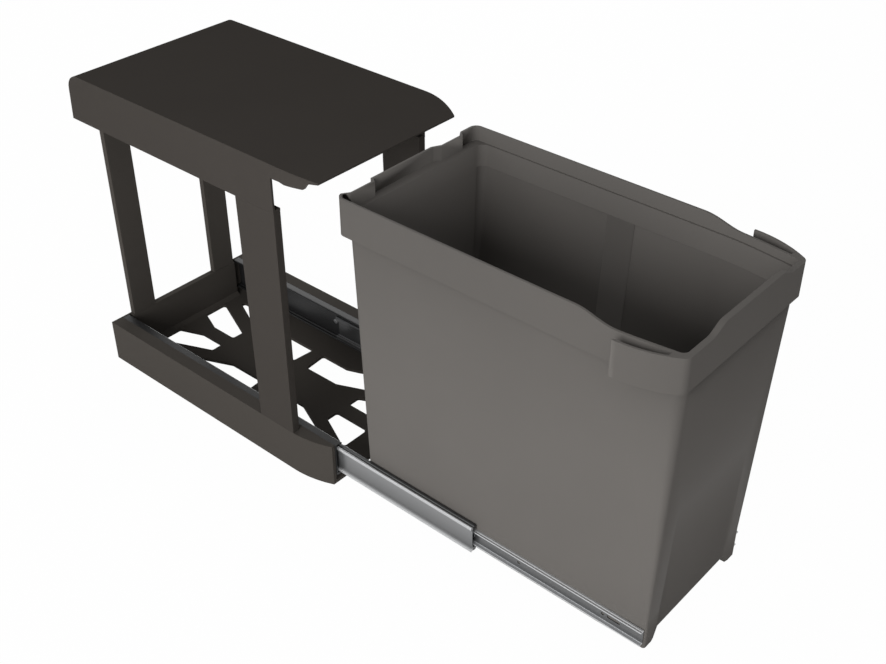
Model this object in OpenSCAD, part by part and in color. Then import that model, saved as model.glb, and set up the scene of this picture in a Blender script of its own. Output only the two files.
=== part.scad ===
// Pull-out trash cabinet for a kitchen base unit.
// X runs across the unit, +Y points to the back, +Z up.
// The origin is the bottom centre of the tray's rear face, and the bin stands fully pulled out.

/* [Unit] */
// Width over the tray's side walls and the lid
unit_w = 236; // [235:0.5:250]
// Depth of the tray
tray_len = 401; // [400:1:410]
// Height of the tray's side walls
tray_h = 57.7; // [57.6:0.1:60]
// Height of the lid's top above the floor
unit_h = 410.5; // [410.3:0.1:420]
// Thickness of the moulded walls
wall = 2.5; // [2:0.1:2.8]

/* [Tray] */
// Width of each hollow side wall
cheek_w = 16.5; // [16:0.1:18]
// Depth of the hollow rear wall
rear_w = 8; // [7.5:0.1:10]
// Thickness of the floor plate
floor_t = 4; // [3:0.5:6]
// Radius that draws the side walls in at the front
tray_nose_r = 137; // [125:1:160]
// Length of the drawn-in stretch of the side walls
tray_nose_len = 56; // [45:1:58]
// Height of the sloping cove along the rear wall
cove_h = 4.3; // [3:0.1:8]
// Reach of that cove over the floor
cove_len = 6; // [4:0.5:7]
// Corner radius of the cut-outs in the floor
cutout_r = 3.5; // [2:0.5:5]

/* [Posts] */
// Width of a rear post
rear_post_w = 35; // [28:1:36]
// Distance from the unit's side to a rear post
rear_post_in = 31.5; // [31:0.5:35]
// Depth of a front post at its top
front_post_d = 60; // [50:1:64]
// How much narrower a front post is at its foot
front_post_taper = 4; // [0:0.5:8]
// Thickness of a front post
front_post_t = 10; // [9:0.1:10.2]
// Distance from the tray's front to a front post
front_post_back = 52; // [50:1:58]
// Length of the pegs that seat the posts
peg_w = 12; // [6:1:20]
// Height of those pegs
peg_h = 2; // [1.5:0.1:2.3]

/* [Lid] */
// Height of the lid's skirt at the sides and the back
skirt_h = 57.9; // [57:0.1:60]
// Height of the skirt in front of the posts
lip_h = 16.2; // [15:0.1:16.3]
// Extra height of that lip along its middle
lip_step = 1.8; // [0.5:0.1:1.9]
// Distance of that step in front of the posts
lip_step_y = 12.3; // [8:0.1:16]
// Thickness of the lid's top
lid_t = 1.9; // [1.5:0.1:2]
// Drop of the lid's top at the nose
nose_drop = 8.4; // [6:0.1:8.5]
// Length of the curved nose
nose_len = 57; // [50:0.5:60]
// Radius that draws the lid in at the nose
nose_plan_r = 108; // [105:1:125]
// Length of the lid's drawn-in stretch
nose_plan_len = 53; // [45:0.5:56]
// Reach of the nose past the tray
nose_over = 4.1; // [2:0.1:6]
// Radius along the lid's rear top edge
lid_rear_r = 20; // [14:0.5:24]
// Lean of the lid's rear face
lid_lean = 3.4; // [1:0.1:4]

/* [Slides] */
// Travel of the bin from closed to fully out
travel = 410; // [409:1:411]
// Length of the outer slide member
slide_len = 400; // [398:0.5:401]
// Height of the slides' centre line
slide_z = 35; // [34.6:0.1:35.1]
// Height of the outer slide member
slide_h = 45; // [44.9:0.1:45.1]
// Width of the slide from wall to bin
slide_t = 12.7; // [12.7:0.1:13]
// Sheet thickness of the slides
slide_sheet = 1.2; // [1.1:0.05:1.25]
// Radius of the bearing balls
ball_r = 1.9; // [1.8:0.05:1.95]
// Radius of the ball races
race_r = 2; // [1.97:0.01:2.04]
// Balls in each row
ball_count = 6; // [3:1:8]
// Length of the outer ball cages
outer_cage_len = 180; // [150:1:182]
// Length of the inner ball cages
inner_cage_len = 171; // [150:1:172]

/* [Bin] */
// Length of the bin from its rear collar to its front
bin_len = 401.2; // [400:0.1:402]
// Distance from the unit's back to the closed bin's collar
bin_back = 22.3; // [20:0.1:24]
// Height of the bin's rim above the floor
rim_z = 399.4; // [397:0.1:399.6]
// How far the bin's collar stands in from the unit's side
collar_in = 10.4; // [10.3:0.1:10.8]
// Height of the collar
collar_h = 42.4; // [38:0.1:42.6]
// How far the tub stands in from the collar's side
tub_in = 1.6; // [0.5:0.1:2]
// Depth of the ledge inside the collar
ledge_drop = 16.6; // [12:0.2:20]
// Set-back of the tub's rear wall from the collar
tub_back = 11.7; // [9:0.1:13]
// Lean of the tub's front wall over its height
front_lean = 9; // [5:0.5:11]
// Height of the bin's feet above the floor
foot_z = 18; // [17:0.5:20]
// Width of each foot
foot_w = 19; // [14:0.5:22]
// Height of the feet under the bin's floor
foot_h = 11; // [8:0.5:12]
// Depth of the dips in the rim at the front corners
rim_dip = 8; // [6:0.1:8.5]
// Reach of the ears past the unit's side
ear_out = 2; // [1.6:0.1:4]
// Length of an ear
ear_len = 64; // [58:0.5:65]
// Height of an ear
ear_h = 38; // [30:0.5:38]
// Depth of the notches in the rear collar
notch_d = 5.5; // [3:0.1:6]
// Width of the band that guides a divider
guide_w = 33; // [20:1:40]
// Depth of the hollow between the front wall's corner pillars
hollow_d = 2.5; // [0.5:0.1:3]

/* [Screws] */
// Radius of the screws that hold the slides
screw_r = 1.9; // [1.7:0.05:1.95]
// Radius of the screw holes
screw_hole_r = 2; // [1.97:0.01:2.2]
// Radius of the screw heads
screw_head_r = 3.6; // [3:0.1:4]
// Height of the screw heads
screw_head_h = 0.5; // [0.4:0.05:0.6]

/* [Hidden] */
$fn = 96;
arc_steps = 12;

// Overrun of every cut past the face that it starts from
over = 1;
// Running gap between the bin and what it passes
gap = 0.7;
// Play of a peg in its socket
peg_play = 0.15;
// Thickness of the slices that a tapered wall is stretched between
sliver = 0.1;
// Roof over a peg in the lid's lugs
lug_roof = 1.2;
half_turn = 180;
full_turn = 2 * half_turn;

// The frame
half_w = unit_w / 2;
cheek_x = half_w - cheek_w;
rear_box_half = cheek_x - slide_t - gap;
skirt_z = unit_h - skirt_h;
lid_len = tray_len + nose_over;
front_post_y = front_post_back - tray_len;
lug_h = peg_h + lug_roof;
rear_post_x = half_w - rear_post_in - rear_post_w;
lip_z = unit_h - lip_h;
lip_step_len = 6.6;
lip_rise_y = -389;
lip_rise_len = 8;
passage_z = rim_z + gap;
nose_r = (nose_len * nose_len + nose_drop * nose_drop) / (2 * nose_drop);
lean_angle = atan(lid_lean / skirt_h);
lid_tail_y = (lid_rear_r + (skirt_h - lid_rear_r) * sin(lean_angle)) / cos(lean_angle);

// Cut-outs in the floor: shares of the half width between the walls and of half the depth
rear_hole_shares = [[0.099, 0.244], [0.232, 0.075], [0.571, 0.075], [0.266, 0.439], [0.099, 0.436]];
side_hole_shares = [[0.778, 0.105], [0.552, 0.357], [0.291, 0.663], [0.286, 0.938], [0.621, 0.953],
    [0.621, 0.733], [0.69, 0.643], [0.778, 0.549]];
front_hole_shares = [[0.104, 1.546], [0.276, 1.546], [0.512, 1.8], [0.483, 1.816], [0.158, 1.816],
    [0.104, 1.79]];

// The slides' section: depths from the wall, and steps in from the outer member's edge
flange_w = 10.2;
flange_t = 2.9;
flange_end_r = 1.45;
outer_race_u = 6.4;
outer_race_in = 3.2;
outer_strip_u = 1.8;
strip_t = 0.5;
middle_u = 2.7;
middle_w = 9.2;
middle_in = 4.25;
middle_bar_h = 6.55;
middle_edge_r = 1.6;
middle_web_t = 0.9;
middle_web_in = 2.5;
middle_ridge_h = 3.1;
inner_race_u = 9.3;
inner_race_in = 11.1;
inner_strip_u = 6.55;
inner_in = 12.6;
inner_flange_w = 5.2;
inner_flange_t = 1.5;
cage_t = 0.6;
cage_lip = 0.4;
outer_cage_lip = 0.1;
cage_arm_w = 7.4;
inner_arm_w = 5;
ball_pitch_share = 0.9;
slot_len = 12;
end_gap = 2.5;

// The slides' places along the unit with the bin pulled out
outer_y = -wall;
outer_front_y = outer_y - slide_len;
middle_len = slide_len - 2 * end_gap;
middle_y = outer_y - end_gap - travel / 2;
inner_y = outer_y - 3 * end_gap - travel;
outer_cage_y = (middle_y + outer_front_y + outer_cage_len) / 2;
inner_cage_y = (inner_y + middle_y - middle_len + inner_cage_len) / 2;
outer_screw_shares = [0.06, 0.49, 0.92];
inner_screw_shares = [0.1, 0.45];
inner_hole_shares = [0.61, 0.88];
slot_share = 0.9125;

// The bin
collar_half = half_w - collar_in;
tub_half = collar_half - tub_in;
ear_half = half_w + ear_out;
bin_y = -(bin_back + travel);
bin_front_y = bin_y - bin_len;
tub_y = bin_y - tub_back;
tub_low_half = cheek_x - slide_t;
tub_low_z = tray_h + gap;
collar_z = rim_z - collar_h;
ledge_z = rim_z - ledge_drop;
front_step = 3.5;
nose_in = 8;
low_nose_in = 1;
shoulder_back = 68;
shoulder_r = 400;
tub_corner_r = 12;
tub_low_r = 3;
ledge_w = 2.4;
hollow_low_x = 75.5;
hollow_top_x = 64;
hollow_top_z = 200;
hollow_slant = 13;
collar_corner_r = 9;
front_rim_t = 6;
foot_slope = 8;
guide_t = 0.8;
guide_back = 182;
side_dip_from = 289;
side_dip_len = 44;
front_dip_shares = [-0.604, -0.381, 0.502, 0.706];
left_notch_shares = [-0.927, -0.85, -0.576, -0.533];
right_notch_shares = [0.318, 0.419, 0.691, 0.765];
ear_top_z = rim_z - rim_dip;
ear_bend_share = 0.525;
ear_bend_r = 115;
ear_spread = 1.8;
ear_root = 16;

plastic = [0.3, 0.29, 0.28];
dark_plastic = [0.2, 0.19, 0.18];
zinc = [0.75, 0.76, 0.78];
steel = [0.85, 0.86, 0.88];

function unit(v) = v / norm(v);

// The arc that rounds corner b of an outline with radius r
function fillet(a, b, c, r) =
    let (
        u = unit(a - b),
        v = unit(c - b),
        half = acos(u * v) / 2,
        centre = b + unit(u + v) * r / sin(half),
        from = b + u * r / tan(half) - centre,
        to = b + v * r / tan(half) - centre,
        start = atan2(from.y, from.x),
        sweep = (atan2(to.y, to.x) - start + full_turn + half_turn) % full_turn - half_turn
    )
    [for (i = [0:arc_steps]) centre + r * [cos(start + sweep * i / arc_steps), sin(start + sweep * i / arc_steps)]];

// An outline with every corner rounded, each by its own radius
function rounded(points, radii) =
    let (n = len(points))
    [for (i = [0:n - 1]) each fillet(points[(i + n - 1) % n], points[i], points[(i + 1) % n], radii[i])];

function same(r, n) = [for (i = [1:n]) r];

function arc(centre, r, from, to) =
    [for (i = [0:2 * arc_steps]) let (a = from + (to - from) * i / (2 * arc_steps)) centre + r * [cos(a), sin(a)]];

// A soft step that rises from 0 to 1
function soft_step(t) = (1 - cos(half_turn * t)) / 2;

// Raises a plan drawn in X and Y
module up(z, h) translate([0, 0, z]) linear_extrude(h) children();

// Runs a section drawn in X and Z forwards from y
module along(y, length) translate([0, y, 0]) rotate([90, 0, 0]) linear_extrude(length) children();

// Runs a section drawn in Y and Z across the unit
module across(width) translate([-width / 2, 0, 0]) rotate([90, 0, 90]) linear_extrude(width) children();

module both() {
    children();
    mirror([1, 0, 0]) children();
}

// A plan with straight sides that are drawn in by an arc towards a flat nose
module nosed_plan(half, length, drawn, r) {
    side = arc([half - r, drawn - length], r, 0, -asin(drawn / r));
    polygon(concat([[half, 0]], side, [for (i = [len(side) - 1:-1:0]) [-side[i].x, side[i].y]], [[-half, 0]]));
}

// A bore or shank along X that starts at x and runs towards the middle
module towards_middle(x, y, z, r, length) translate([x, y, z]) rotate([0, -90, 0]) cylinder(r = r, h = length);

module floor_hole(shares) {
    points = [for (s = shares) [s.x * cheek_x, -s.y * tray_len / 2]];
    up(-over, floor_t + 2 * over) polygon(rounded(points, same(cutout_r, len(points))));
}

module peg(x, y, z, play, deep) {
    across_w = (deep ? peg_h : peg_w) + 2 * play;
    along_w = (deep ? peg_w : peg_h) + 2 * play;
    translate([x - across_w / 2, y - along_w / 2, z - play]) cube([across_w, along_w, peg_h + 2 * play]);
}

rear_post_mid = rear_post_x + rear_post_w / 2;
front_post_mid = half_w - front_post_t / 2;
front_peg_y = front_post_y + front_post_d / 2;

module post_pegs(z, play) {
    peg(rear_post_mid, -rear_w / 2, z, play, false);
    peg(front_post_mid, front_peg_y, z, play, true);
}

module base_tray() color(dark_plastic) difference() {
    up(0, tray_h) nosed_plan(half_w, tray_len, tray_nose_len, tray_nose_r);
    // The well between the side walls, with its cove, and the pockets where the slides reach the back
    difference() {
        translate([-cheek_x, -tray_len - over, floor_t])
            cube([2 * cheek_x, tray_len + over - wall, tray_h]);
        translate([-rear_box_half, -rear_w, 0]) cube([2 * rear_box_half, rear_w, tray_h]);
        across(2 * rear_box_half)
            polygon([[-rear_w, floor_t], [-rear_w - cove_len, floor_t], [-rear_w, floor_t + cove_h]]);
    }
    // The hollows of the side walls and the rear wall, open underneath
    up(-over, tray_h + over - wall) difference() {
        nosed_plan(half_w - wall, tray_len - wall, tray_nose_len - wall, tray_nose_r - wall);
        translate([-cheek_x - wall, -tray_len]) square([2 * (cheek_x + wall), tray_len]);
        translate([-half_w, -wall]) square([unit_w, wall]);
    }
    translate([wall - rear_box_half, wall - rear_w, -over])
        cube([2 * (rear_box_half - wall), rear_w - 2 * wall, tray_h + over - wall]);
    both() {
        floor_hole(rear_hole_shares);
        floor_hole(side_hole_shares);
        floor_hole(front_hole_shares);
        translate([0, -tray_len, 0]) mirror([0, 1, 0]) floor_hole(side_hole_shares);
        post_pegs(tray_h - peg_h, peg_play);
        for (s = outer_screw_shares)
            towards_middle(cheek_x + wall + over, outer_y - s * slide_len, slide_z, screw_hole_r, wall + 2 * over);
    }
}

// A post of U section, open at the back, with a closed foot and head
module rear_post() color(dark_plastic) {
    difference() {
        translate([rear_post_x, -rear_w, tray_h]) cube([rear_post_w, rear_w, skirt_z - tray_h]);
        translate([rear_post_x + wall, wall - rear_w, tray_h + wall])
            cube([rear_post_w - 2 * wall, rear_w, skirt_z - tray_h - 2 * wall]);
    }
    peg(rear_post_mid, -rear_w / 2, tray_h - peg_h, 0, false);
    peg(rear_post_mid, -rear_w / 2, skirt_z, 0, false);
}

module front_post() color(plastic) {
    back_y = front_post_y + front_post_d;
    translate([half_w - front_post_t, 0, 0]) rotate([90, 0, 90]) linear_extrude(front_post_t)
        polygon([[front_post_y, tray_h], [back_y - front_post_taper, tray_h], [back_y, skirt_z],
            [front_post_y, skirt_z]]);
    peg(front_post_mid, front_peg_y, tray_h - peg_h, 0, true);
    peg(front_post_mid, front_peg_y, skirt_z, 0, true);
}

// The lid's outline from the side, drawn in by inset at the back and by t at the top
module lid_side(inset, t) {
    nose_angle = asin(nose_len / nose_r);
    polygon(concat(
        [[-inset / cos(lean_angle), skirt_z - (inset > 0 ? over : 0)]],
        arc([-lid_tail_y, unit_h - lid_rear_r], lid_rear_r - inset, lean_angle, 90),
        arc([nose_len - lid_len, unit_h - nose_r], nose_r - t, 90, 90 + nose_angle),
        [[-lid_len, skirt_z - (inset > 0 ? over : 0)]]
    ));
}

module lid() color(plastic) {
    difference() {
        intersection() {
            across(unit_w) lid_side(0, 0);
            up(0, unit_h + over) nosed_plan(half_w, lid_len, nose_plan_len, nose_plan_r);
        }
        intersection() {
            across(unit_w) lid_side(wall, lid_t);
            up(0, unit_h)
                nosed_plan(half_w - wall, lid_len - wall, nose_plan_len - wall, nose_plan_r - wall);
        }
        // The skirt ends in front of the posts in a shallow lip with a step, which rises towards the nose
        across(unit_w + 2 * over) polygon(concat(
            [[front_post_y, skirt_z - over], [front_post_y, lip_z], [front_post_y - lip_step_y, lip_z],
                [front_post_y - lip_step_y - lip_step_len, lip_z - lip_step]],
            [for (i = [0:arc_steps])
                [lip_rise_y - lip_rise_len * i / arc_steps,
                    blend(lip_z - lip_step, passage_z, soft_step(i / arc_steps))]],
            [[-lid_len - over, passage_z], [-lid_len - over, skirt_z - over]]
        ));
        // The bin's collar passes under the nose
        translate([-collar_half - gap, -lid_len - over, skirt_z])
            cube([2 * (collar_half + gap), lid_len + front_post_y, passage_z - skirt_z]);
    }
    // Lugs that close the skirt over the posts
    both() difference() {
        union() {
            translate([rear_post_x, -rear_w, skirt_z]) cube([rear_post_w, rear_w - wall / 2, lug_h]);
            translate([half_w - front_post_t, front_post_y, skirt_z])
                cube([front_post_t - wall / 2, front_post_d, lug_h]);
        }
        post_pegs(skirt_z, peg_play);
    }
}

// Places a slide's section, whose x runs from the wall and y from the centre line
module section() translate([cheek_x, slide_z]) mirror([1, 0]) children();

module upper_and_lower() {
    children();
    mirror([0, 1]) children();
}

module outer_rail() color(zinc) difference() {
    along(outer_y, slide_len) section() {
        translate([0, -slide_h / 2]) square([slide_sheet, slide_h]);
        upper_and_lower() difference() {
            union() {
                translate([0, slide_h / 2 - flange_t]) square([flange_w - flange_end_r, flange_t]);
                translate([flange_w - flange_end_r, slide_h / 2 - flange_t / 2]) circle(flange_end_r);
            }
            translate([outer_race_u, slide_h / 2 - outer_race_in]) circle(race_r);
        }
    }
    for (s = outer_screw_shares)
        towards_middle(cheek_x + over, outer_y - s * slide_len, slide_z, screw_hole_r, slide_sheet + 2 * over);
}

module outer_screws() color(steel) for (s = outer_screw_shares) {
    y = outer_y - s * slide_len;
    towards_middle(cheek_x + wall, y, slide_z, screw_r, wall + slide_sheet);
    towards_middle(cheek_x - slide_sheet, y, slide_z, screw_head_r, screw_head_h);
}

module middle_rail() color(zinc) along(middle_y, middle_len) section() {
    low = slide_h / 2 - middle_in - middle_bar_h;
    upper_and_lower() difference() {
        soft_bar(middle_u, low, middle_w, middle_bar_h, middle_edge_r);
        translate([outer_race_u, slide_h / 2 - outer_race_in]) circle(race_r);
        translate([inner_race_u, slide_h / 2 - inner_race_in]) circle(race_r);
        // The outer face slants in from a ridge to the web
        polygon([
            [middle_u - over, low + middle_ridge_h], [middle_u, low + middle_ridge_h],
            [middle_u + middle_web_in, low], [middle_u + middle_web_in, low - over], [middle_u - over, low - over]
        ]);
    }
    translate([middle_u + middle_web_in, -low - middle_edge_r])
        square([middle_web_t, 2 * (low + middle_edge_r)]);
}

// A bar's section with rolled edges
module soft_bar(x, y, w, h, r) {
    translate([x + r, y]) square([w - 2 * r, h]);
    translate([x, y + r]) square([w, h - 2 * r]);
    for (cx = [x + r, x + w - r], cy = [y + r, y + h - r]) translate([cx, cy]) circle(r);
}

module inner_rail() color(zinc) difference() {
    along(inner_y, slide_len) section() {
        half = slide_h / 2 - inner_in;
        translate([slide_t - slide_sheet, -half]) square([slide_sheet, 2 * half]);
        upper_and_lower() difference() {
            translate([slide_t - inner_flange_w, half - inner_flange_t])
                square([inner_flange_w, inner_flange_t]);
            translate([inner_race_u, slide_h / 2 - inner_race_in]) circle(race_r);
        }
    }
    for (s = concat(inner_screw_shares, inner_hole_shares))
        towards_middle(tub_low_half + slide_sheet + over, inner_y - s * slide_len, slide_z, screw_hole_r,
            slide_sheet + 2 * over);
    for (end = [-1, 1])
        towards_middle(tub_low_half + slide_sheet + over, inner_y - slot_share * slide_len + end * slot_len / 2,
            slide_z, screw_hole_r, slide_sheet + 2 * over);
    translate([tub_low_half - over, inner_y - slot_share * slide_len - slot_len / 2, slide_z - screw_hole_r])
        cube([slide_sheet + 2 * over, slot_len, 2 * screw_hole_r]);
}

module inner_screws() color(steel) for (s = inner_screw_shares) {
    y = inner_y - s * slide_len;
    towards_middle(tub_low_half + slide_sheet, y, slide_z, screw_r, slide_sheet + wall);
    towards_middle(tub_low_half + slide_sheet + screw_head_h, y, slide_z, screw_head_r, screw_head_h);
}

// A ball cage's strip and arms, with a hole round each ball
module cage(y, length, strip_u, strip_w, arm_w, arm_v, race_u) color(steel) difference() {
    along(y, length) section() polygon([
        [strip_u, -arm_v], [strip_u + arm_w, -arm_v], [strip_u + arm_w, cage_t - arm_v],
        [strip_u + strip_w, cage_t - arm_v], [strip_u + strip_w, arm_v - cage_t],
        [strip_u + arm_w, arm_v - cage_t], [strip_u + arm_w, arm_v], [strip_u, arm_v]
    ]);
    for (i = [0:ball_count - 1])
        translate([cheek_x - race_u, ball_y(y, length, i), slide_z - arm_v - over])
            cylinder(r = race_r + peg_play, h = 2 * (arm_v + over));
}

function ball_y(y, length, i) =
    y - length / 2 + length * ball_pitch_share * (i / (ball_count - 1) - 1 / 2);

module balls(y, length, race_u, race_v) color(steel)
    for (i = [0:ball_count - 1], side = [-1, 1])
        translate([cheek_x - race_u, ball_y(y, length, i), slide_z + side * race_v]) sphere(ball_r);

module outer_cage() cage(outer_cage_y, outer_cage_len, outer_strip_u, strip_t, cage_arm_w,
    slide_h / 2 - outer_race_in - outer_cage_lip, outer_race_u);

module inner_cage() cage(inner_cage_y, inner_cage_len, inner_strip_u, cage_t, inner_arm_w,
    slide_h / 2 - inner_race_in - cage_lip, inner_race_u);

module outer_balls() balls(outer_cage_y, outer_cage_len, outer_race_u, slide_h / 2 - outer_race_in);

module inner_balls() balls(inner_cage_y, inner_cage_len, inner_race_u, slide_h / 2 - inner_race_in);

// The bin's plan: straight sides, and shoulders that are drawn in to the front corners
function tub_plan(side, nose, back, front, r) = rounded(
    [[-side, back], [-side, bin_front_y + shoulder_back], [-nose, front],
        [nose, front], [side, bin_front_y + shoulder_back], [side, back]],
    [r, shoulder_r, r, r, shoulder_r, r]);

// How far the tub's front wall stands back at height z
function front_y(z) = bin_front_y + front_step + front_lean * (collar_z - z) / (collar_z - foot_z);

module tub_slice(z, h, side, nose_draw, r, inset, front_inset) up(z, h)
    polygon(tub_plan(side - inset, side - nose_draw - inset, tub_y - inset, front_y(z + h) + front_inset,
        r - inset));

// The tub from z up to the collar: upright beside the slides, and tapered above them
module tub_body(z, inset, front_inset) {
    tub_slice(z, tub_low_z - z, tub_low_half, low_nose_in, tub_low_r, inset, front_inset);
    hull() {
        tub_slice(tub_low_z - sliver, sliver, tub_low_half, low_nose_in, tub_low_r, inset, front_inset);
        tub_slice(collar_z, sliver, tub_half, nose_in, tub_corner_r, inset, inset);
    }
}

// What is taken off the front wall between its corner pillars, deepest at the foot
module front_hollow() hull() {
    hollow_slice(foot_z - over, hollow_low_x, front_y(tub_low_z), hollow_d);
    hollow_slice(hollow_top_z, hollow_top_x, front_y(hollow_top_z), -over);
}

module hollow_slice(z, half, y, deep) up(z, sliver) polygon([
    [-half, y - 2 * over], [half, y - 2 * over], [half, y - sliver], [half - hollow_slant, y + deep],
    [hollow_slant - half, y + deep], [-half, y - sliver]
]);

module collar_plan(inset, front_inset) polygon(tub_plan(collar_half - inset,
    collar_half - nose_in - inset, bin_y - inset, bin_front_y + front_inset, collar_corner_r - inset));

module notch(shares, grow) polygon([
    [shares[0] * collar_half - grow, bin_y + over], [shares[0] * collar_half - grow, bin_y],
    [shares[1] * collar_half - grow, bin_y - notch_d - grow],
    [shares[2] * collar_half + grow, bin_y - notch_d - grow],
    [shares[3] * collar_half + grow, bin_y], [shares[3] * collar_half + grow, bin_y + over]
]);

// What is cut off above the rim: the sides dip to the front corners, and the front rises again
module rim_cut() intersection() {
    across(2 * (ear_half + over)) polygon(concat(
        [for (i = [0:arc_steps])
            [bin_y - side_dip_from - side_dip_len * i / arc_steps, rim_z - rim_dip * soft_step(i / arc_steps)]],
        [[bin_front_y - over, rim_z - rim_dip], [bin_front_y - over, rim_z + over],
            [bin_y - side_dip_from, rim_z + over]]
    ));
    along(bin_y + over, bin_len + 3 * over) {
        front_dip(front_dip_shares[0], front_dip_shares[1], -ear_half - over);
        front_dip(front_dip_shares[3], front_dip_shares[2], ear_half + over);
    }
}

// The dip in the front rim from the outer side to where the middle has risen
module front_dip(low_share, high_share, outer_x) polygon(concat(
    [[outer_x, rim_z - rim_dip]],
    [for (i = [0:arc_steps])
        [collar_half * blend(low_share, high_share, i / arc_steps),
            rim_z - rim_dip * soft_step(1 - i / arc_steps)]],
    [[collar_half * high_share, rim_z + over], [outer_x, rim_z + over]]
));

function blend(a, b, t) = a + (b - a) * t;

// The outline of the band that wraps the front and ends in the two ears
function wrap_plan(inset) =
    let (
        side = ear_half - inset,
        bend_y = bin_front_y + ear_bend_share * ear_len,
        front_half = collar_half - nose_in + ear_spread - inset / 2,
        back = bin_front_y + ear_len + wall
    )
    rounded(
        [[-side, back], [-side, bend_y], [-front_half, bin_front_y + inset],
            [front_half, bin_front_y + inset], [side, bend_y], [side, back]],
        [over, ear_bend_r, collar_corner_r - inset, collar_corner_r - inset, ear_bend_r, over]);

// The ears stand clear of the tub at their rear ends
module ears() up(ear_top_z - ear_h, ear_h) difference() {
    polygon(wrap_plan(0));
    intersection() {
        polygon(wrap_plan(wall));
        translate([-ear_half, bin_front_y + ear_root]) square([2 * ear_half, ear_len]);
    }
    translate([-ear_half - over, bin_front_y + ear_len]) square([2 * (ear_half + over), ear_len]);
}

module bin() color(plastic) difference() {
    union() {
        tub_body(foot_z, 0, 0);
        up(collar_z, collar_h) collar_plan(0, 0);
        ears();
    }
    // The inside: the tapered tub, the band under the ledge and the collar above it
    difference() {
        union() {
            tub_body(foot_z + foot_h + wall, wall, wall + hollow_d);
            up(collar_z, ledge_z - collar_z + over)
                polygon(tub_plan(collar_half - wall - ledge_w, collar_half - nose_in - wall - ledge_w,
                    tub_y - wall, bin_front_y + front_rim_t, tub_corner_r - wall));
            up(ledge_z, ledge_drop + over) difference() {
                collar_plan(wall, front_rim_t);
                notch(left_notch_shares, wall);
                notch(right_notch_shares, wall);
            }
        }
        both() guide_band();
    }
    up(collar_z - over, collar_h + 2 * over) {
        notch(left_notch_shares, 0);
        notch(right_notch_shares, 0);
    }
    // The collar's rear is hollow underneath
    translate([wall - collar_half, tub_y, collar_z - over])
        cube([2 * (collar_half - wall), tub_back - wall - notch_d, ledge_z - collar_z - wall + over]);
    rim_cut();
    front_hollow();
    // The channel that leaves two feet
    along(tub_y + over, bin_len) polygon([
        [foot_w - tub_low_half, foot_z - over], [foot_w - tub_low_half, foot_z],
        [foot_w + foot_slope - tub_low_half, foot_z + foot_h],
        [tub_low_half - foot_w - foot_slope, foot_z + foot_h],
        [tub_low_half - foot_w, foot_z], [tub_low_half - foot_w, foot_z - over]
    ]);
    both() for (s = inner_screw_shares)
        towards_middle(tub_low_half + over, inner_y - s * slide_len, slide_z, screw_hole_r, wall + 2 * over);
}

// A raised band down the inner wall
module guide_band() {
    lean = atan((tub_half - tub_low_half) / (collar_z - tub_low_z));
    translate([tub_low_half - wall - guide_t, bin_y - guide_back - guide_w, tub_low_z]) rotate([0, lean, 0])
        cube([tub_corner_r, guide_w, (ledge_z - tub_low_z) / cos(lean)]);
}

base_tray();
mirror([1, 0, 0]) rear_post();  // rear_post_left
rear_post();  // rear_post_right
mirror([1, 0, 0]) front_post();  // front_post_left
front_post();  // front_post_right
lid();
mirror([1, 0, 0]) outer_rail();  // outer_rail_left
outer_rail();  // outer_rail_right
mirror([1, 0, 0]) outer_screws();  // outer_screws_left
outer_screws();  // outer_screws_right
mirror([1, 0, 0]) middle_rail();  // middle_rail_left
middle_rail();  // middle_rail_right
mirror([1, 0, 0]) inner_rail();  // inner_rail_left
inner_rail();  // inner_rail_right
mirror([1, 0, 0]) inner_screws();  // inner_screws_left
inner_screws();  // inner_screws_right
mirror([1, 0, 0]) outer_cage();  // outer_cage_left
outer_cage();  // outer_cage_right
mirror([1, 0, 0]) inner_cage();  // inner_cage_left
inner_cage();  // inner_cage_right
mirror([1, 0, 0]) outer_balls();  // outer_balls_left
outer_balls();  // outer_balls_right
mirror([1, 0, 0]) inner_balls();  // inner_balls_left
inner_balls();  // inner_balls_right
bin();
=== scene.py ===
"""A pull-out trash cabinet in a plain studio: slotted tray, posts, lid, slides and a tapered bin."""

import logging
import math
from dataclasses import dataclass, field
from enum import Enum

import bmesh
import bpy
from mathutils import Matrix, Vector


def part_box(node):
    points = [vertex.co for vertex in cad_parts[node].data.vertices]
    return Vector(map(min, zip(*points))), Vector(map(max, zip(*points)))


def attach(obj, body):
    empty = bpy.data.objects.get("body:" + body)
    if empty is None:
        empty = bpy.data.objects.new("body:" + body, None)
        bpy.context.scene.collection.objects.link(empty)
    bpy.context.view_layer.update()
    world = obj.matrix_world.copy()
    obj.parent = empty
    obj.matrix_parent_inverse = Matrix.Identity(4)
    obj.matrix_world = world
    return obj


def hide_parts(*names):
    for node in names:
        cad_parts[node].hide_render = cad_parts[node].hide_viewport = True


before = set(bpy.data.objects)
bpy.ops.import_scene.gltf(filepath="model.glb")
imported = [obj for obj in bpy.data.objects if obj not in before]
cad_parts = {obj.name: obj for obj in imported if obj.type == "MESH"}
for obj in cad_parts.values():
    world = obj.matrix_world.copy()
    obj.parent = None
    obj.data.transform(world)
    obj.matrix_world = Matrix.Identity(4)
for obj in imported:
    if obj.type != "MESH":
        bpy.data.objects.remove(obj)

LOG = logging.getLogger("trash_cabinet")
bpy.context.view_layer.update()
MILLIMETRE = 0.001
SIDES = ("left", "right")
MERGE_DISTANCE = 0.02 * MILLIMETRE
FLAT_ANGLE = math.radians(0.05)
SHARP_ANGLE = math.radians(35)
STRIP_BEVEL_ANGLE = 18.0
DARK_INPUT, LIGHT_INPUT, COLOUR_OUTPUT = 6, 7, 2


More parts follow.
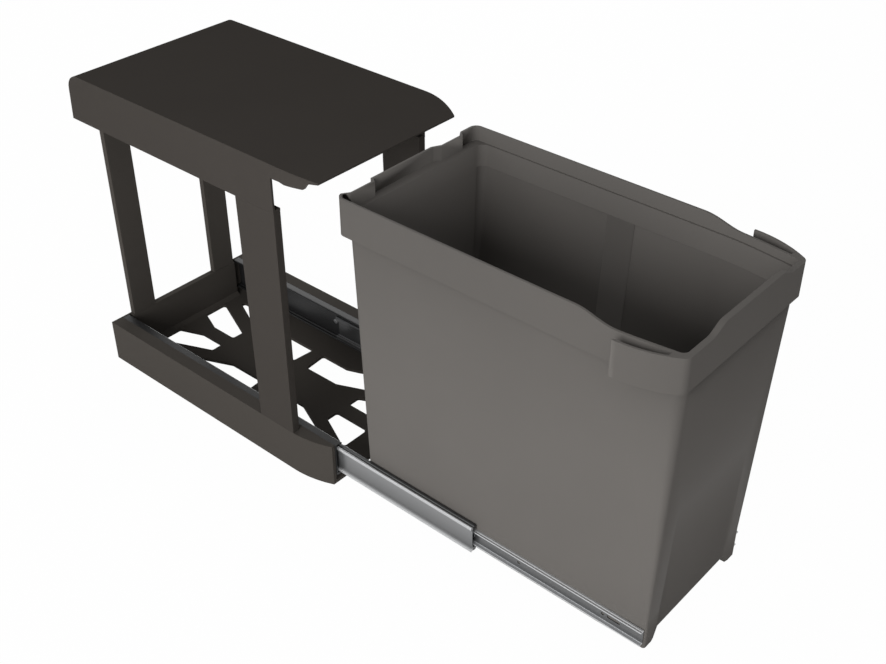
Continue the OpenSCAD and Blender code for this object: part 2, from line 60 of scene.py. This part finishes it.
class Value:
    """A shader socket that takes part in Python sums."""

    def __init__(self, graph: "Graph", socket: bpy.types.NodeSocket) -> None:
        """Wraps a socket.

        Args:
            graph: The material graph that new nodes go into.
            socket: The output socket that holds the value.
        """
        self.graph = graph
        self.socket = socket

    def maths(self, operation: str, first: object, second: object) -> "Value":
        """Adds a Math node.

        Args:
            operation: The node's operation.
            first: The first operand, a value or a number.
            second: The second operand, a value or a number.

        Returns:
            The node's result.
        """
        return self.graph.add("ShaderNodeMath", "Value", {"operation": operation}, {0: first, 1: second})

    def __add__(self, other: object) -> "Value":
        """Adds."""
        return self.maths("ADD", self, other)

    def __radd__(self, other: object) -> "Value":
        """Adds to a number."""
        return self.maths("ADD", other, self)

    def __sub__(self, other: object) -> "Value":
        """Subtracts."""
        return self.maths("SUBTRACT", self, other)

    def __rsub__(self, other: object) -> "Value":
        """Subtracts from a number."""
        return self.maths("SUBTRACT", other, self)

    def __mul__(self, other: object) -> "Value":
        """Multiplies."""
        return self.maths("MULTIPLY", self, other)

    def __rmul__(self, other: object) -> "Value":
        """Multiplies a number."""
        return self.maths("MULTIPLY", other, self)

    def __abs__(self) -> "Value":
        """Drops the sign."""
        return self.maths("ABSOLUTE", self, 0.0)

    def held(self) -> "Value":
        """Holds the value between 0 and 1."""
        settings = {"operation": "ADD", "use_clamp": True}
        return self.graph.add("ShaderNodeMath", "Value", settings, {0: self, 1: 0.0})


class Graph:
    """The node graph of one material, on a Principled shader."""

    def __init__(self, name: str) -> None:
        """Starts an empty material.

        Args:
            name: The material's name.
        """
        self.material = bpy.data.materials.new(name)
        self.material.use_nodes = True
        self.tree = self.material.node_tree
        self.shader = self.tree.nodes["Principled BSDF"]

    def add(self, kind: str, output: str, settings: dict | None = None, inputs: dict | None = None) -> Value:
        """Adds one node.

        Args:
            kind: The node's type.
            output: The name of the output that is wanted.
            settings: Properties that are set before the sockets.
            inputs: Values or links, by socket name or number.

        Returns:
            The wanted output.
        """
        node = self.tree.nodes.new(kind)
        for key, value in (settings or {}).items():
            setattr(node, key, value)
        for key, value in (inputs or {}).items():
            self.feed(node.inputs[key], value)
        return Value(self, node.outputs[output])

    def feed(self, socket: bpy.types.NodeSocket, value: object) -> None:
        """Links a value to a socket, or sets the socket's number.

        Args:
            socket: The input socket.
            value: A wrapped socket, a number or a colour.
        """
        if isinstance(value, Value):
            self.tree.links.new(value.socket, socket)
        else:
            socket.default_value = value

    def set(self, **inputs: object) -> None:
        """Sets the shader's own sockets, with underscores for spaces."""
        for key, value in inputs.items():
            self.feed(self.shader.inputs[key.replace("_", " ")], value)

    def coordinates(self) -> Value:
        """The object's own coordinates."""
        return self.add("ShaderNodeTexCoord", "Object")

    def along(self, axis: str) -> Value:
        """The object's own coordinate along X, Y or Z."""
        return self.add("ShaderNodeSeparateXYZ", axis, {}, {"Vector": self.coordinates()})

    def noise(self, scale: float, detail: float = 2.0, stretch: tuple = (1.0, 1.0, 1.0)) -> Value:
        """A noise over the object.

        Args:
            scale: Patches per metre.
            detail: Octaves.
            stretch: Scale along each axis.

        Returns:
            The noise's strength.
        """
        place = self.add("ShaderNodeMapping", "Vector", {}, {"Vector": self.coordinates(), "Scale": stretch})
        return self.add("ShaderNodeTexNoise", "Fac", {}, {"Vector": place, "Scale": scale, "Detail": detail})

    def mix(self, factor: object, dark: object, light: object) -> Value:
        """Mixes two colours.

        Args:
            factor: The share of the light one.
            dark: The first colour, a value or three numbers.
            light: The second colour, a value or three numbers.

        Returns:
            The mixed colour.
        """
        mixed = self.tree.nodes.new("ShaderNodeMix")
        mixed.data_type = "RGBA"
        self.feed(mixed.inputs["Factor"], factor)
        for number, colour in ((DARK_INPUT, dark), (LIGHT_INPUT, light)):
            self.feed(mixed.inputs[number], colour if isinstance(colour, Value) else (*colour, 1.0))
        return Value(self, mixed.outputs[COLOUR_OUTPUT])

    def bump(self, height: Value, strength: float, distance: float, under: Value | None = None) -> Value:
        """Turns a height into a normal.

        Args:
            height: The height.
            strength: The share of the effect.
            distance: The height in metres.
            under: A normal from a coarser layer.

        Returns:
            The bent normal.
        """
        inputs = {"Height": height, "Strength": strength, "Distance": distance}
        if under is not None:
            inputs["Normal"] = under
        return self.add("ShaderNodeBump", "Normal", {}, inputs)


@dataclass(frozen=True)
class Plastic:
    """Dark polypropylene with a fine matt grain."""

    name: str
    colour: tuple[float, float, float]
    roughness: float = 0.5
    specular: float = 0.16
    variation: float = 0.05

    def make(self) -> bpy.types.Material:
        """Builds the material.

        Returns:
            The finished material.
        """
        graph = Graph(self.name)
        cloud = graph.noise(9.0, 3.0)
        grain = graph.noise(2600.0, 2.0)
        ripple = graph.noise(26.0, 1.0)
        dark = tuple(channel * (1 - self.variation) for channel in self.colour)
        light = tuple(channel * (1 + self.variation) for channel in self.colour)
        soft = graph.bump(ripple, 0.05, 0.0006)
        graph.set(
            Base_Color=graph.mix(cloud, dark, light),
            Roughness=self.roughness + (grain - 0.5) * 0.12 + (cloud - 0.5) * 0.08,
            Normal=graph.bump(grain, 0.12, 0.00004, soft),
            Specular_IOR_Level=self.specular,
        )
        return graph.material


@dataclass(frozen=True)
class PlatedSteel:
    """Rolled steel strip with bright zinc plate."""

    name: str
    colour: tuple[float, float, float]
    roughness: float = 0.3
    streak: float = 0.1
    metallic: float = 1.0
    # ridge, ridge_band and the gain after them paint a highlight on the rolled ridges.
    ridge: float = 0.0
    ridge_band: float = 1.2 * MILLIMETRE
    painted_highlight_gain: float = 1.0
    # This share paints shade, darker towards the bottom of the member.
    painted_shade_fade: float = 0.0
    # These two paint shade on the side nearer the middle than the given distance.
    painted_shade_inside: float = 0.0
    painted_shade_share: float = 0.3
    slide_height: float = 35.0 * MILLIMETRE

    def shade(self, share: float) -> tuple[float, ...]:
        """The strip's colour, made lighter or darker.

        Args:
            share: What each channel is multiplied by.

        Returns:
            The new colour.
        """
        return tuple(channel * share for channel in self.colour)

    def make(self) -> bpy.types.Material:
        """Builds the material, with painted highlights on the rolled ridges, and painted shade darker
        towards the bottom and on the inward side.

        Returns:
            The finished material.
        """
        graph = Graph(self.name)
        rolled = graph.noise(500.0, 2.0, (1.0, 0.02, 1.0))
        cloud = graph.noise(38.0, 3.0)
        colour = graph.mix(rolled, self.shade(1 - self.streak), self.colour)
        if self.ridge:
            up = graph.along("Z") - self.slide_height
            # Painted shade: the colour fades darker towards the bottom of the member.
            low = (0.5 - up * (0.5 / self.ridge)).held()
            colour = graph.mix(low, colour, self.shade(1 - self.painted_shade_fade))
            # Painted highlight: bands beyond the ridge distance from the member's middle are lightened,
            # standing in for the glint on the rolled ridges.
            lightening = ((abs(up) - self.ridge) * (1 / self.ridge_band)).held()
            colour = graph.mix(lightening, colour, self.shade(self.painted_highlight_gain))
        # Painted shade: the side nearer the middle than the given distance is darkened, standing in for
        # shade and dark reflections there.
        if self.painted_shade_inside:
            outer = colour.maths("GREATER_THAN", abs(graph.along("X")), self.painted_shade_inside)
            colour = graph.mix(outer, self.shade(self.painted_shade_share), colour)
        graph.set(
            Base_Color=colour,
            Metallic=self.metallic,
            Roughness=self.roughness + (cloud - 0.5) * 0.08 + (rolled - 0.5) * 0.06,
            Normal=graph.bump(rolled, 0.06, 0.00003),
        )
        return graph.material


@dataclass(frozen=True)
class CoatedSteel:
    """Steel strip under a thin black coating that lets the strip's rolling show."""

    name: str
    colour: tuple[float, float, float]
    roughness: float = 0.38
    specular: float = 0.3

    def make(self) -> bpy.types.Material:
        """Builds the material.

        Returns:
            The finished material.
        """
        graph = Graph(self.name)
        rolled = graph.noise(700.0, 2.0, (1.0, 0.03, 1.0))
        cloud = graph.noise(30.0, 3.0)
        lightening = tuple(channel * 1.5 for channel in self.colour)
        graph.set(
            Base_Color=graph.mix(cloud * rolled, self.colour, lightening),
            Roughness=self.roughness + (cloud - 0.5) * 0.1,
            Normal=graph.bump(rolled, 0.1, 0.00003),
            Specular_IOR_Level=self.specular,
        )
        return graph.material


class Finish(Enum):
    """The finishes that the object has, with the record's slot that each belongs to."""

    TRAY = ("tray_plastic", Plastic("tray_plastic_finish", (0.081, 0.073, 0.065), 0.55, 0.01))
    FRAME = ("frame_plastic", Plastic("frame_plastic_finish", (0.068, 0.061, 0.055), 0.55, 0.0))
    BIN = ("bin_plastic", Plastic("bin_plastic_finish", (0.160, 0.150, 0.140), 0.55, 0.04))
    MIDDLE = (
        "zinc_steel",
        PlatedSteel(
            "middle_zinc_finish",
            (0.25, 0.253, 0.257),
            roughness=0.3,
            streak=0.08,
            metallic=0.55,
            # The next five settings paint highlights on the rolled ridges, shade darker towards the bottom
            # and shade on the inward side.
            ridge=12.5 * MILLIMETRE,
            ridge_band=3.0 * MILLIMETRE,
            painted_highlight_gain=2.2,
            painted_shade_fade=0.5,
            painted_shade_inside=95.5 * MILLIMETRE,
        ),
    )
    INNER = (
        "zinc_steel",
        PlatedSteel(
            "inner_zinc_finish",
            # Painted shade: this base colour is darker than the middle member's, though both are the same
            # zinc plate.
            (0.15, 0.152, 0.155),
            roughness=0.3,
            streak=0.08,
            metallic=0.55,
            # The next four settings paint highlights on the rolled ridges and shade darker towards the
            # bottom.
            ridge=7.2 * MILLIMETRE,
            ridge_band=1.2 * MILLIMETRE,
            painted_highlight_gain=3.8,
            painted_shade_fade=0.25,
        ),
    )
    RAIL = ("black_steel", CoatedSteel("black_rail_finish", (0.016, 0.016, 0.0165)))
    CAGE = ("cage_steel", PlatedSteel("cage_finish", (0.12, 0.12, 0.123), 0.42))
    BALL = ("ball_steel", PlatedSteel("ball_finish", (0.6, 0.6, 0.61), 0.12, 0.02))
    SCREW = ("screw_steel", PlatedSteel("screw_finish", (0.35, 0.35, 0.36), 0.35))

    @property
    def slot(self) -> str:
        """The record's material slot."""
        return self.value[0]


class Workshop:
    """Makes each finish once, and dresses nodes and pieces with it."""

    def __init__(self) -> None:
        """Makes every material."""
        self.materials = {finish: finish.value[1].make() for finish in Finish}

    def dress_node(self, node: str, finish: Finish) -> None:
        """Gives a CAD node its finish.

        Args:
            node: The node's name.
            finish: The finish that it gets.
        """
        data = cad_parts[node].data
        data.materials.clear()
        data.materials.append(self.materials[finish])
        LOG.info("node %s: %s", node, finish.slot)

    def dress_piece(self, piece: bpy.types.Object, finish: Finish, body: str, *replaced: str) -> None:
        """Gives a piece its finish and its body, and hides the nodes that it stands for.

        Args:
            piece: The piece.
            finish: The finish that it gets.
            body: The CAD body that it moves with.
            replaced: The nodes that it replaces.
        """
        piece.data.materials.clear()
        piece.data.materials.append(self.materials[finish])
        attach(piece, body)
        if replaced:
            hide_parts(*replaced)
        LOG.info("piece %s on %s: %s", piece.name, body, finish.slot)


def softened(
    node: str, name: str, width: float, angle: float = 30.0, segments: int = 2, even: bool = True
) -> bpy.types.Object:
    """Copies a CAD node's mesh and rounds its edges as a moulding's are.

    Args:
        node: The node's name.
        name: The new piece's name.
        width: The rounding's width in metres.
        angle: The least angle in degrees of an edge that is rounded.
        segments: The steps of the rounding.
        even: Whether large faces are shaded flat.

    Returns:
        The new piece, at the origin.
    """
    shape = bmesh.new()
    shape.from_mesh(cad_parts[node].data)
    bmesh.ops.remove_doubles(shape, verts=shape.verts, dist=MERGE_DISTANCE)
    bmesh.ops.dissolve_limit(
        shape, angle_limit=FLAT_ANGLE, verts=shape.verts, edges=shape.edges, delimit={"NORMAL"}
    )
    bmesh.ops.triangulate(shape, faces=[face for face in shape.faces if len(face.verts) > 4])
    data = bpy.data.meshes.new(name)
    shape.to_mesh(data)
    shape.free()
    piece = bpy.data.objects.new(name, data)
    bpy.context.scene.collection.objects.link(piece)
    bevel = piece.modifiers.new("edges", "BEVEL")
    bevel.width = width
    bevel.segments = segments
    bevel.limit_method = "ANGLE"
    bevel.angle_limit = math.radians(angle)
    bevel.use_clamp_overlap = True
    bevel.harden_normals = True
    if even:
        evened = piece.modifiers.new("flat_faces", "WEIGHTED_NORMAL")
        evened.mode = "FACE_AREA"
        evened.weight = 100
    data.shade_smooth()
    return piece


def turned(name: str, profile: list[tuple[float, float]], segments: int = 24) -> bpy.types.Object:
    """Turns a profile about the X axis into a closed solid.

    Args:
        name: The new object's name.
        profile: Pairs of a place along X and a radius, in metres, from end to end.
        segments: The steps round the axis.

    Returns:
        The solid, at the origin.
    """
    shape = bmesh.new()
    points = [shape.verts.new((place, 0.0, radius)) for place, radius in profile]
    edges = [shape.edges.new(pair) for pair in zip(points, points[1:])]
    bmesh.ops.spin(
        shape, geom=points + edges, axis=(1, 0, 0), cent=(0, 0, 0), steps=segments, angle=2 * math.pi
    )
    bmesh.ops.remove_doubles(shape, verts=shape.verts, dist=0.001 * MILLIMETRE)
    bmesh.ops.recalc_face_normals(shape, faces=shape.faces)
    data = bpy.data.meshes.new(name)
    shape.to_mesh(data)
    shape.free()
    solid = bpy.data.objects.new(name, data)
    bpy.context.scene.collection.objects.link(solid)
    return solid


class Repeat:
    """A Geometry Nodes tree that sets one shape down again and again along a line, in one or two rows."""

    def __init__(self, name: str, spin: float = 0.0) -> None:
        """Builds the tree.

        Args:
            name: The tree's name.
            spin: The greatest random turn about X in radians.
        """
        self.tree = bpy.data.node_groups.new(name, "GeometryNodeTree")
        sides = self.tree.interface
        for label, kind in (
            ("Shape", "NodeSocketObject"),
            ("Start", "NodeSocketVector"),
            ("Step", "NodeSocketVector"),
            ("Count", "NodeSocketInt"),
            ("Second Row", "NodeSocketVector"),
            ("Turn", "NodeSocketVector"),
            ("Finish", "NodeSocketMaterial"),
        ):
            sides.new_socket(label, in_out="INPUT", socket_type=kind)
        sides.new_socket("Result", in_out="OUTPUT", socket_type="NodeSocketGeometry")
        given = self.tree.nodes.new("NodeGroupInput").outputs
        line = self.node("GeometryNodeMeshLine", {"Start Location": given["Start"], "Offset": given["Step"]})
        line.inputs["Count"].default_value = 1
        self.tree.links.new(given["Count"], line.inputs["Count"])
        moved = self.node(
            "GeometryNodeTransform", {"Geometry": line.outputs["Mesh"], "Translation": given["Second Row"]}
        )
        both = self.tree.nodes.new("GeometryNodeJoinGeometry")
        self.tree.links.new(line.outputs["Mesh"], both.inputs[0])
        self.tree.links.new(moved.outputs["Geometry"], both.inputs[0])
        merged = self.node("GeometryNodeMergeByDistance", {"Geometry": both.outputs["Geometry"]})
        shape = self.node("GeometryNodeObjectInfo", {"Object": given["Shape"]})
        chance = self.tree.nodes.new("FunctionNodeRandomValue")
        chance.data_type = "FLOAT_VECTOR"
        chance.inputs[0].default_value = (-spin, 0.0, 0.0)
        chance.inputs[1].default_value = (spin, 0.0, 0.0)
        chance.inputs["Seed"].default_value = 7
        turn = self.tree.nodes.new("ShaderNodeVectorMath")
        self.tree.links.new(given["Turn"], turn.inputs[0])
        self.tree.links.new(chance.outputs[0], turn.inputs[1])
        placed = self.node(
            "GeometryNodeInstanceOnPoints",
            {
                "Points": merged.outputs["Geometry"],
                "Instance": shape.outputs["Geometry"],
                "Rotation": turn.outputs["Vector"],
            },
        )
        real = self.node("GeometryNodeRealizeInstances", {"Geometry": placed.outputs["Instances"]})
        dressed = self.node(
            "GeometryNodeSetMaterial", {"Geometry": real.outputs["Geometry"], "Material": given["Finish"]}
        )
        result = self.tree.nodes.new("NodeGroupOutput")
        self.tree.links.new(dressed.outputs["Geometry"], result.inputs[0])

    def node(self, kind: str, links: dict[str, bpy.types.NodeSocket]) -> bpy.types.Node:
        """Adds a node to the tree.

        Args:
            kind: The node's type.
            links: What each of its inputs is linked to, by name.

        Returns:
            The node.
        """
        node = self.tree.nodes.new(kind)
        for label, socket in links.items():
            self.tree.links.new(socket, node.inputs[label])
        return node

    def bake(self, name: str, **values: object) -> bpy.types.Object:
        """Runs the tree once and keeps the result as a plain mesh.

        Args:
            name: The new piece's name.
            **values: The tree's inputs, with underscores for spaces.

        Returns:
            The new piece, at the origin.
        """
        carrier = bpy.data.objects.new(name, bpy.data.meshes.new(f"{name}_carrier"))
        bpy.context.scene.collection.objects.link(carrier)
        modifier = carrier.modifiers.new("repeat", "NODES")
        modifier.node_group = self.tree
        given = [item for item in self.tree.interface.items_tree if item.in_out == "INPUT"]
        sockets = {item.name: item.identifier for item in given}
        for label, value in values.items():
            modifier[sockets[label.replace("_", " ")]] = value
        bpy.context.view_layer.update()
        graph = bpy.context.evaluated_depsgraph_get()
        data = bpy.data.meshes.new_from_object(carrier.evaluated_get(graph), depsgraph=graph)
        carrier.modifiers.clear()
        carrier.data = data
        data.name = name
        data.shade_smooth()
        data.set_sharp_from_angle(angle=SHARP_ANGLE)
        return carrier


@dataclass
class Housing:
    """The fixed frame: the tray, its four posts and the lid."""

    edge: float = 0.5 * MILLIMETRE
    body: str = "frame"
    posts: tuple[str, ...] = ("rear_post_left", "rear_post_right", "front_post_left", "front_post_right")

    def build(self, workshop: Workshop) -> None:
        """Builds and dresses the pieces.

        Args:
            workshop: The maker of the finishes.
        """
        tray = softened("base_tray", "tray_moulding", self.edge)
        workshop.dress_piece(tray, Finish.TRAY, self.body, "base_tray")
        for post in self.posts:
            finish = Finish.TRAY if post.startswith("rear") else Finish.FRAME
            workshop.dress_piece(softened(post, f"{post}_moulding", self.edge), finish, self.body, post)
        workshop.dress_piece(softened("lid", "lid_moulding", self.edge), Finish.FRAME, self.body, "lid")


@dataclass
class Slides:
    """The two ball-bearing slides: three members, two cages, four rows of balls and five screws each."""

    edge: float = 0.2 * MILLIMETRE
    screw_reach: float = 3.7 * MILLIMETRE
    shank: float = 1.9 * MILLIMETRE
    head: float = 3.6 * MILLIMETRE
    head_rise: float = 0.5 * MILLIMETRE
    recess_arm: float = 2.1 * MILLIMETRE
    recess_width: float = 0.7 * MILLIMETRE
    recess_depth: float = 0.4 * MILLIMETRE
    balls_in_row: int = 6
    ball_steps: int = 14
    ball_ring: int = 20
    screw_ring: int = 28
    screw_turn: float = 1.4
    outer_screws: int = 3
    inner_screws: int = 2

    def build(self, workshop: Workshop) -> None:
        """Builds and dresses the pieces.

        Args:
            workshop: The maker of the finishes.
        """
        ball = self.make_ball()
        screw = self.make_screw()
        rows = Repeat("ball_rows")
        line = Repeat("screw_line", self.screw_turn)
        for side in SIDES:
            members = {
                "outer_rail": ("frame", Finish.RAIL),
                "middle_rail": (f"middle_member_{side}", Finish.MIDDLE),
                "inner_rail": ("bin", Finish.INNER),
            }
            for member, (body, finish) in members.items():
                node = f"{member}_{side}"
                strip = softened(node, f"{node}_strip", self.edge, STRIP_BEVEL_ANGLE)
                workshop.dress_piece(strip, finish, body, node)
            for cage in ("outer_cage", "inner_cage"):
                node = f"{cage}_{side}"
                strip = softened(node, f"{node}_strip", self.edge, STRIP_BEVEL_ANGLE)
                workshop.dress_piece(strip, Finish.CAGE, node, node)
                self.set_balls(workshop, rows, ball, cage.split("_")[0], side)
            self.set_screws(workshop, line, screw, "outer", side, self.outer_screws, "frame")
            self.set_screws(workshop, line, screw, "inner", side, self.inner_screws, "bin")
        for template in (ball, screw):
            bpy.data.objects.remove(template)

    def make_ball(self) -> bpy.types.Object:
        """A bearing ball of the nodes' own radius.

        Returns:
            The ball, at the origin.
        """
        low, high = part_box("outer_balls_left")
        radius = (high[0] - low[0]) / 2
        angles = [math.pi * step / self.ball_steps for step in range(self.ball_steps + 1)]
        profile = [(-radius * math.cos(angle), radius * math.sin(angle)) for angle in angles]
        return turned("ball", profile, self.ball_ring)

    def make_screw(self) -> bpy.types.Object:
        """A screw with a low domed head at +X and a cross recess in it.

        Returns:
            The screw, with the underside of its head at the origin.
        """
        rise = self.head_rise
        profile = [
            (-self.screw_reach, 0.0),
            (-self.screw_reach, self.shank * 0.8),
            (-self.screw_reach * 0.88, self.shank),
            (0.0, self.shank),
            (0.0, self.head * 0.97),
            (rise * 0.3, self.head),
            (rise * 0.7, self.head * 0.93),
            (rise * 0.93, self.head * 0.78),
            (rise, self.head * 0.5),
            (rise, 0.0),
        ]
        screw = turned("screw", profile, self.screw_ring)
        shape = bmesh.new()
        for arm, width in ((self.recess_arm, self.recess_width), (self.recess_width, self.recess_arm)):
            made = bmesh.ops.create_cube(shape, size=1.0)["verts"]
            bmesh.ops.scale(shape, vec=(2 * self.recess_depth, arm, width), verts=made)
            bmesh.ops.translate(shape, vec=(rise, 0, 0), verts=made)
        data = bpy.data.meshes.new("recess")
        shape.to_mesh(data)
        shape.free()
        recess = bpy.data.objects.new("recess", data)
        bpy.context.scene.collection.objects.link(recess)
        cut = screw.modifiers.new("recess", "BOOLEAN")
        cut.operation = "DIFFERENCE"
        cut.use_self = True
        cut.object = recess
        bpy.context.view_layer.update()
        graph = bpy.context.evaluated_depsgraph_get()
        result = bpy.data.meshes.new_from_object(screw.evaluated_get(graph), depsgraph=graph)
        screw.modifiers.clear()
        screw.data = result
        bpy.data.objects.remove(recess)
        return screw

    def set_balls(
        self, workshop: Workshop, rows: Repeat, ball: bpy.types.Object, place: str, side: str
    ) -> None:
        """Sets the two rows of balls of one cage.

        Args:
            workshop: The maker of the finishes.
            rows: The tree that repeats the ball.
            ball: One ball.
            place: Outer or inner.
            side: Left or right.
        """
        node = f"{place}_balls_{side}"
        low, high = (Vector(corner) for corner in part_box(node))
        radius = (high.x - low.x) / 2
        start = (low.x + radius, low.y + radius, low.z + radius)
        pitch = (high.y - low.y - 2 * radius) / (self.balls_in_row - 1)
        piece = rows.bake(
            f"{node}_rows",
            Shape=ball,
            Start=start,
            Step=(0.0, pitch, 0.0),
            Count=self.balls_in_row,
            Second_Row=(0.0, 0.0, high.z - low.z - 2 * radius),
            Finish=workshop.materials[Finish.BALL],
        )
        workshop.dress_piece(piece, Finish.BALL, f"{place}_cage_{side}", node)

    def set_screws(
        self,
        workshop: Workshop,
        line: Repeat,
        screw: bpy.types.Object,
        place: str,
        side: str,
        count: int,
        body: str,
    ) -> None:
        """Sets the screws of one slide member.

        Args:
            workshop: The maker of the finishes.
            line: The tree that repeats the screw.
            screw: One screw.
            place: Outer or inner.
            side: Left or right.
            count: How many screws there are.
            body: The body that they hold to.
        """
        node = f"{place}_screws_{side}"
        low, high = (Vector(corner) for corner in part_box(node))
        head_at_high_x = (side == "left") == (place == "outer")
        seat = high.x - self.head_rise if head_at_high_x else low.x + self.head_rise
        pitch = (high.y - low.y - 2 * self.head) / (count - 1)
        piece = line.bake(
            f"{node}_heads",
            Shape=screw,
            Start=(seat, low.y + self.head, (low.z + high.z) / 2),
            Step=(0.0, pitch, 0.0),
            Count=count,
            Turn=(0.0, 0.0, 0.0 if head_at_high_x else math.pi),
            Finish=workshop.materials[Finish.SCREW],
        )
        workshop.dress_piece(piece, Finish.SCREW, body, node)


@dataclass
class Bin:
    """The tapered bin."""

    edge: float = 0.4 * MILLIMETRE
    bevel_angle: float = 20.0
    body: str = "bin"

    def build(self, workshop: Workshop) -> None:
        """Builds and dresses the bin.

        Args:
            workshop: The maker of the finishes.
        """
        tub = softened("bin", "bin_moulding", self.edge, self.bevel_angle, even=False)
        workshop.dress_piece(tub, Finish.BIN, self.body, "bin")


@dataclass(frozen=True)
class Lamp:
    """A soft rectangular lamp."""

    name: str
    place: tuple[float, float, float]
    aim: tuple[float, float, float]
    size: float
    power: float

    def make(self) -> None:
        """Hangs the lamp."""
        light = bpy.data.lights.new(self.name, "AREA")
        light.shape = "SQUARE"
        light.size = self.size
        light.energy = self.power
        lamp = bpy.data.objects.new(self.name, light)
        lamp.location = self.place
        lamp.rotation_euler = (Vector(self.aim) - Vector(self.place)).to_track_quat("-Z", "Y").to_euler()
        bpy.context.scene.collection.objects.link(lamp)


@dataclass
class Studio:
    """The plain floor, the soft light and the camera."""

    lens: float = 50.0
    sensor: float = 36.0
    camera_place: tuple[float, float, float] = (-0.8407, -1.2111, 0.9873)
    azimuth: float = -48.957
    elevation: float = 35.208
    floor_half: float = 6.0
    ambient: float = 0.31
    floor_white: float = 0.985
    lamps: tuple[Lamp, ...] = field(
        default_factory=lambda: (
            Lamp("left_light", (-2.1, -0.95, 1.0), (0.0, -0.45, 0.25), 1.3, 32.0),
            Lamp("edge_light", (-1.9, 0.9, 1.35), (-0.1, -0.5, 0.05), 0.5, 1.6),
            Lamp("far_light", (1.9, 1.3, 0.5), (0.0, -0.4, 0.2), 1.2, 22.0),
        )
    )

    def build(self) -> None:
        """Sets the stage."""
        self.make_camera()
        self.make_world()
        self.make_floor()
        for lamp in self.lamps:
            lamp.make()
        bpy.context.scene.view_settings.view_transform = "Standard"

    def make_camera(self) -> None:
        """Places the camera at the photograph's angle."""
        data = bpy.data.cameras.new("camera")
        data.lens = self.lens
        data.sensor_width = self.sensor
        data.clip_end = 50.0
        camera = bpy.data.objects.new("camera", data)
        camera.location = self.camera_place
        camera.rotation_euler = (math.radians(90 - self.elevation), 0, math.radians(self.azimuth))
        bpy.context.scene.collection.objects.link(camera)
        bpy.context.scene.camera = camera

    def make_world(self) -> None:
        """Makes a backdrop that the camera and reflections see as white, and that lights softly."""
        world = bpy.data.worlds.new("studio")
        bpy.context.scene.world = world
        world.use_nodes = True
        tree = world.node_tree
        strength = tree.nodes.new("ShaderNodeMapRange")
        strength.inputs["To Min"].default_value = self.ambient
        strength.inputs["To Max"].default_value = 1.0
        tree.links.new(self.seen(tree), strength.inputs["Value"])
        tree.links.new(strength.outputs[0], tree.nodes["Background"].inputs["Strength"])
        tree.nodes["Background"].inputs["Color"].default_value = (1, 1, 1, 1)

    def seen(self, tree: bpy.types.NodeTree) -> bpy.types.NodeSocket:
        """A mask of the rays of the camera, of reflections and through glass.

        Args:
            tree: The tree that the nodes go into.

        Returns:
            The mask's socket.
        """
        path = tree.nodes.new("ShaderNodeLightPath")
        mask = path.outputs["Is Camera Ray"]
        for ray in ("Is Glossy Ray", "Is Transmission Ray"):
            most = tree.nodes.new("ShaderNodeMath")
            most.operation = "MAXIMUM"
            tree.links.new(mask, most.inputs[0])
            tree.links.new(path.outputs[ray], most.inputs[1])
            mask = most.outputs[0]
        return mask

    def make_floor(self) -> None:
        """Lays a pale floor that looks white and keeps the object's shadow."""
        shape = bmesh.new()
        bmesh.ops.create_grid(shape, x_segments=1, y_segments=1, size=self.floor_half)
        data = bpy.data.meshes.new("floor")
        shape.to_mesh(data)
        shape.free()
        floor = bpy.data.objects.new("floor", data)
        graph = Graph("pale_floor")
        graph.set(Base_Color=(0.9, 0.9, 0.9, 1.0), Roughness=0.9, Specular_IOR_Level=0.1)
        tree = graph.tree
        white = tree.nodes.new("ShaderNodeEmission")
        share = tree.nodes.new("ShaderNodeMath")
        share.operation = "MULTIPLY"
        share.inputs[1].default_value = self.floor_white
        tree.links.new(self.seen(tree), share.inputs[0])
        mixed = tree.nodes.new("ShaderNodeMixShader")
        tree.links.new(share.outputs[0], mixed.inputs[0])
        tree.links.new(graph.shader.outputs[0], mixed.inputs[1])
        tree.links.new(white.outputs[0], mixed.inputs[2])
        tree.links.new(mixed.outputs[0], tree.nodes["Material Output"].inputs["Surface"])
        data.materials.append(graph.material)
        bpy.context.scene.collection.objects.link(floor)


def main() -> None:
    """Builds the object and its studio."""
    logging.basicConfig(level=logging.INFO, format="%(message)s")
    workshop = Workshop()
    Housing().build(workshop)
    Slides().build(workshop)
    Bin().build(workshop)
    Studio().build()


if __name__ == "__main__":
    main()
